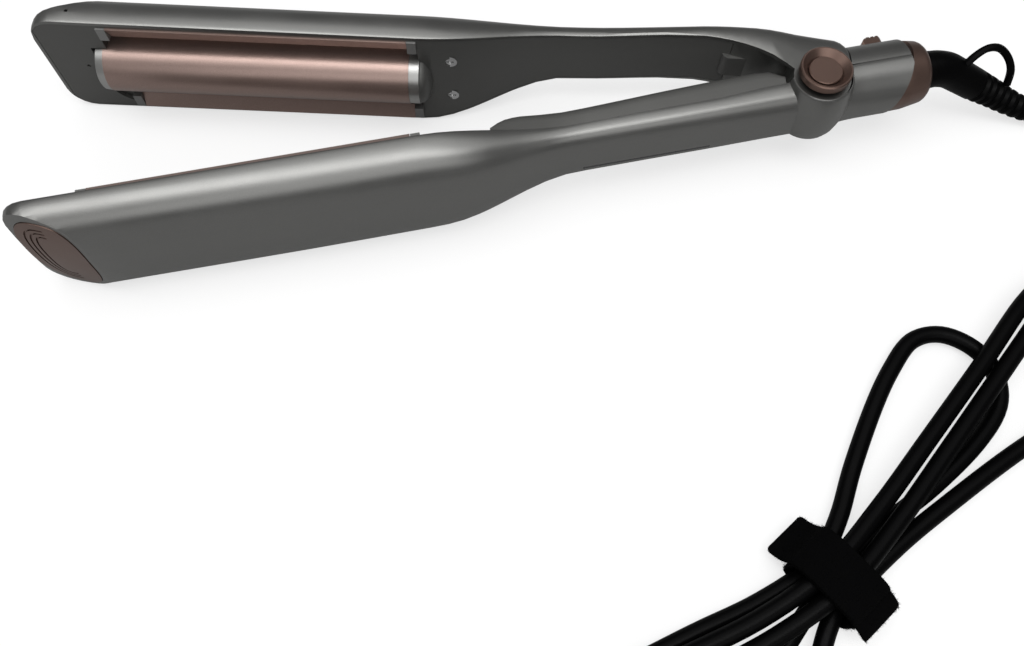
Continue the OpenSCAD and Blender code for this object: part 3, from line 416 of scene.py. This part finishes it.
# ---------------------------------------------------------------- the hook-and-loop strap round the hank
STRAP_PATH = [  # across the hank and up, from the rounded end at one side to the blunt end at the other
    (-16.2, 4.6), (-18.3, 6.6), (-18.6, 9.4), (-16.6, 11.6), (-13.6, 13.2), (-9, 14.85), (0, 14.95),
    (8, 14.8), (11.6, 13), (12.5, 9), (12.4, 5), (11, 1.7), (7, 0.66), (0, 0.62), (-7, 0.66),
    (-11, 1.7), (-12.5, 5), (-12.9, 9), (-13.4, 12.4), (-11.6, 15.4), (-7, 16.4), (0, 16.5), (8, 16.2),
    (12.4, 14.2), (13.8, 10.6), (15.6, 7.4), (18.6, 5.4), (20.6, 4.8)]
STRAP_HALF_W, STRAP_HALF_T = 8.5, 0.52
STRAP_STEPS = 5
ROUND_SHARE, ROUND_HALF_W = 0.1, 4.4  # the round end: its share of the length, and its half width
BLUNT_SHARE, BLUNT_LOSS = 0.03, 1.2  # the blunt end, and what it loses in half width
ACROSS = [-1, -0.985, -0.9, -0.7, -0.45, -0.2, 0, 0.2, 0.45, 0.7, 0.9, 0.985, 1]
EDGE_RISE = 0.35
THIN_FROM, THIN_TO = 0.95, 0.8  # the strap thins towards its two long edges
UNEVEN_THICK, UNEVEN_EDGE = 0.08, 0.05
STRAP_LOW = 0.06
PILE_COUNT = 5200
PILE_AT_EDGE, EDGE_FROM = 0.25, 0.96
PILE_ROOT = 0.8
PILE_REACH = (0.25, 0.75)
PILE_LEAN = (0.7, 0.4, 0.3)  # along the hank, across it and up
PILE_LOW, PILE_ROOT_LOW = 0.05, 1.8
PILE_R = 0.06


def strap_half_width(t):
    """Half the strap's width along it: a round end at the start, a blunt one at the other."""
    if t < ROUND_SHARE:
        return ROUND_HALF_W + (STRAP_HALF_W - ROUND_HALF_W) * math.sin(t / ROUND_SHARE * math.pi / 2)
    if t > 1 - BLUNT_SHARE:
        return STRAP_HALF_W - BLUNT_LOSS * ((t - (1 - BLUNT_SHARE)) / BLUNT_SHARE) ** 2
    return STRAP_HALF_W


def strap_rows():
    """Along the strap: the middle, the way up through its thickness and its half width."""
    path = spline([(w, z, 0) for w, z in STRAP_PATH], STRAP_STEPS)
    rows = []
    for i, p in enumerate(path):
        t = (path[min(i + 1, len(path) - 1)] - path[max(i - 1, 0)]).normalized()
        rows.append((p, Vector((t.y, -t.x, 0)), strap_half_width(i / (len(path) - 1))))
    return rows


def make_band(rows, rand):
    ring = [(a, 1) for a in ACROSS[1:-1]] + [(1, EDGE_RISE), (1, -EDGE_RISE)]
    ring += [(a, -1) for a in ACROSS[-2:0:-1]] + [(-1, -EDGE_RISE), (-1, EDGE_RISE)]
    verts, faces = [], []
    for p, out, half in rows:
        for a, side in ring:
            thin = THIN_TO if abs(a) > THIN_FROM else 1
            lift = STRAP_HALF_T * side * thin * (1 + rand.uniform(-UNEVEN_THICK, UNEVEN_THICK))
            place = p + out * lift
            along = a * half + rand.uniform(-UNEVEN_EDGE, UNEVEN_EDGE)
            verts.append(in_hank(along, place.x, max(place.y, STRAP_LOW)) * MM)
    n = len(ring)
    for i in range(len(rows) - 1):
        for k in range(n):
            a, b = i * n + k, i * n + (k + 1) % n
            faces.append((a, b, b + n, a + n))
    faces.append(tuple(range(n))[::-1])
    faces.append(tuple((len(rows) - 1) * n + k for k in range(n)))
    return new_object("tie_strap", verts, faces)


def make_pile(rows, rand):
    """Short fibres standing out of both faces and the edges."""
    verts, faces = [], []
    lean_s, lean_w, lean_z = PILE_LEAN
    for _ in range(PILE_COUNT):
        p, out, half = rows[rand.randrange(len(rows))]
        side = rand.choice((-1, 1))
        a = rand.uniform(-1, 1)
        if rand.random() < PILE_AT_EDGE:
            a = rand.choice((-1, 1)) * rand.uniform(EDGE_FROM, 1.0)
        foot = p + out * (STRAP_HALF_T * PILE_ROOT * side)
        root = in_hank(a * half, foot.x, foot.y)
        end = p + out * ((STRAP_HALF_T + rand.uniform(*PILE_REACH)) * side)
        tip = in_hank(a * half + rand.uniform(-lean_s, lean_s), end.x + rand.uniform(-lean_w, lean_w),
                      max(end.y + rand.uniform(-lean_z, lean_z), PILE_LOW))
        if root.z < PILE_ROOT_LOW:
            continue
        way = (tip - root).normalized()
        one = way.orthogonal().normalized() * PILE_R
        two = way.cross(one)
        n = len(verts)
        verts += [(root + one) * MM, (root - one * 0.5 + two * 0.87) * MM,
                  (root - one * 0.5 - two * 0.87) * MM, tip * MM]
        faces += [(n, n + 1, n + 3), (n + 1, n + 2, n + 3), (n + 2, n, n + 3), (n, n + 2, n + 1)]
    return new_object("tie_pile", verts, faces, smooth=False)


def make_strap():
    rand = random.Random(7)
    rows = strap_rows()
    strap = make_band(rows, rand)
    pile = make_pile(rows, rand)
    for piece in (strap, pile):
        piece.data.materials.append(MATERIALS["strap"])
        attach(piece, "cord_set")
    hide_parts("cord_tie")


make_strap()

# ---------------------------------------------------------------- far-arm forms that the CAD lacks
# The far arm's own coordinates: u from the hinge to the tips, y outward and z about its mid-plane.
FAR_TURN = math.radians(-14.5)
CHANNEL = (120, 290), (-3, 8.2), (-16.3, 16.3)
DISH_U, DISH_Z, DISH_R = 260.5, 10.6, 9.9
PATCH_FROM, PATCH_LOW = 263.65, 10.85
PATCH_STEP_U, PATCH_STEP_Z = 269.55, 6.59
PATCH_Y = (1.1, 2.7)
PATCH_ARC = 14


def far_place(u, y, z):
    """A point of the far arm, from its own coordinates to the frame's metres."""
    turn = Matrix.Rotation(FAR_TURN, 3, "Z")
    return (HINGE + Vector((0, 0, MID_Z + z)) + turn @ Vector((-u, y, 0))) * MM


def far_box(name, us, ys, zs):
    corners = [far_place(u, y, z) for u in us for y in ys for z in zs]
    faces = [(0, 1, 3, 2), (4, 6, 7, 5), (0, 4, 5, 1), (2, 3, 7, 6), (0, 2, 6, 4), (1, 5, 7, 3)]
    box = new_object(name, corners, faces, smooth=False)
    bm = bmesh.new()
    bm.from_mesh(box.data)
    bmesh.ops.recalc_face_normals(bm, faces=bm.faces)
    bm.to_mesh(box.data)
    bm.free()
    return box


def cut_away(piece, cutter):
    """Takes the cutter's volume off the piece, and removes the cutter."""
    cut = piece.modifiers.new("cut", "BOOLEAN")
    cut.operation, cut.solver, cut.object = "DIFFERENCE", "EXACT", cutter
    graph = bpy.context.evaluated_depsgraph_get()
    mesh = bpy.data.meshes.new_from_object(piece.evaluated_get(graph))
    piece.modifiers.remove(cut)
    piece.data = mesh
    bpy.data.objects.remove(cutter)


holder = smooth_copy("far_plate_holder")
cut_away(holder, far_box("channel", *CHANNEL))


def cover_patch():
    """A flush piece of the far cover over the dish's upper edge near the tip."""
    start = math.atan2(PATCH_STEP_Z - DISH_Z, PATCH_STEP_U - DISH_U)
    stop = math.acos((PATCH_FROM - DISH_U) / DISH_R)
    outline = [(PATCH_FROM, PATCH_LOW), (PATCH_STEP_U, PATCH_LOW), (PATCH_STEP_U, PATCH_STEP_Z)]
    for k in range(PATCH_ARC + 1):
        a = start + (stop - start) * k / PATCH_ARC
        outline.append((DISH_U + DISH_R * math.cos(a), DISH_Z + DISH_R * math.sin(a)))
    verts = [far_place(u, y, z) for y in PATCH_Y for u, z in outline]
    n = len(outline)
    faces = [tuple(range(n)), tuple(range(2 * n - 1, n - 1, -1))]
    faces += [(k, n + k, n + (k + 1) % n, (k + 1) % n) for k in range(n)]
    patch = new_object("cover_patch", verts, faces, smooth=False)
    patch.data.materials.append(MATERIALS["inner_cover"])
    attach(patch, BODY_OF["far_inner_cover"])


cover_patch()

# ---------------------------------------------------------------- floor, world and lamps
FLOOR_HALF, FLOOR_Z = 1.5, -0.0002
FLOOR_TONE = 0.3
FLOOR_LIFT = 0.68  # white added for camera rays
FLOOR_LIFT_MIRRORED = 0.08  # and for glossy rays: less, so metal mirrors a darker floor than is seen
WORLD_LEVEL = 0.15
LAMP_AIM = (0, 0, 0.02)
LAMPS = [  # name, place, size, watts
    ("key", (-0.1, -0.15, 1.2), (1.5, 0.5), 7.8),
    ("ceiling", (-0.1, 0.1, 1.25), (1.9, 2.1), 15),
    ("front", (-0.1, -1.3, 0.9), (1.9, 0.9), 7)]


def make_floor():
    corners = [(-1, -1), (1, -1), (1, 1), (-1, 1)]
    floor = new_object("floor", [(x * FLOOR_HALF, y * FLOOR_HALF, FLOOR_Z) for x, y in corners],
                       [(0, 1, 2, 3)])
    m = Nodes("floor_white")
    m.set(Base_Color=(*(FLOOR_TONE,) * 3, 1), Roughness=0.9)
    m.shader.inputs["Specular IOR Level"].default_value = 0
    path = m.add("ShaderNodeLightPath")
    mirrored = m.add("ShaderNodeMath", operation="MULTIPLY")
    mirrored.inputs[1].default_value = FLOOR_LIFT_MIRRORED
    m.link(path, "Is Glossy Ray", mirrored, 0)
    share = m.add("ShaderNodeMath", operation="MULTIPLY_ADD", use_clamp=True)
    share.inputs[1].default_value = FLOOR_LIFT
    m.link(path, "Is Camera Ray", share, 0)
    m.link(mirrored, "Value", share, 2)
    glow = m.add("ShaderNodeEmission")
    glow.inputs["Strength"].default_value = 1
    blank = m.add("ShaderNodeEmission")
    blank.inputs["Strength"].default_value = 0
    lift = m.add("ShaderNodeMixShader")
    m.link(share, "Value", lift, "Fac")
    m.tree.links.new(blank.outputs[0], lift.inputs[1])
    m.tree.links.new(glow.outputs[0], lift.inputs[2])
    total = m.add("ShaderNodeAddShader")
    m.tree.links.new(m.shader.outputs[0], total.inputs[0])
    m.tree.links.new(lift.outputs[0], total.inputs[1])
    m.tree.links.new(total.outputs[0], m.out.inputs["Surface"])
    floor.data.materials.append(m.material)


def make_world(level):
    world = bpy.data.worlds.new("studio")
    world.use_nodes = True
    tree = world.node_tree
    tree.nodes.clear()
    out = tree.nodes.new("ShaderNodeOutputWorld")
    ambient = tree.nodes.new("ShaderNodeBackground")
    ambient.inputs["Color"].default_value = (1, 1, 1, 1)
    ambient.inputs["Strength"].default_value = level
    white = tree.nodes.new("ShaderNodeBackground")
    white.inputs["Color"].default_value = (1, 1, 1, 1)
    white.inputs["Strength"].default_value = 1
    path = tree.nodes.new("ShaderNodeLightPath")
    mix = tree.nodes.new("ShaderNodeMixShader")
    tree.links.new(path.outputs["Is Camera Ray"], mix.inputs["Fac"])
    tree.links.new(ambient.outputs[0], mix.inputs[1])
    tree.links.new(white.outputs[0], mix.inputs[2])
    tree.links.new(mix.outputs[0], out.inputs["Surface"])
    scene.world = world


def softbox(name, at, size, power):
    data = bpy.data.lights.new(name, "AREA")
    data.shape = "RECTANGLE"
    data.size, data.size_y = size
    data.energy = power
    lamp = bpy.data.objects.new(name, data)
    lamp.location = at
    lamp.rotation_mode = "QUATERNION"
    lamp.rotation_quaternion = (Vector(LAMP_AIM) - Vector(at)).to_track_quat("-Z", "Y")
    scene.collection.objects.link(lamp)


make_floor()
make_world(WORLD_LEVEL)
for lamp_row in LAMPS:
    softbox(*lamp_row)
scene.view_settings.view_transform = "Standard"
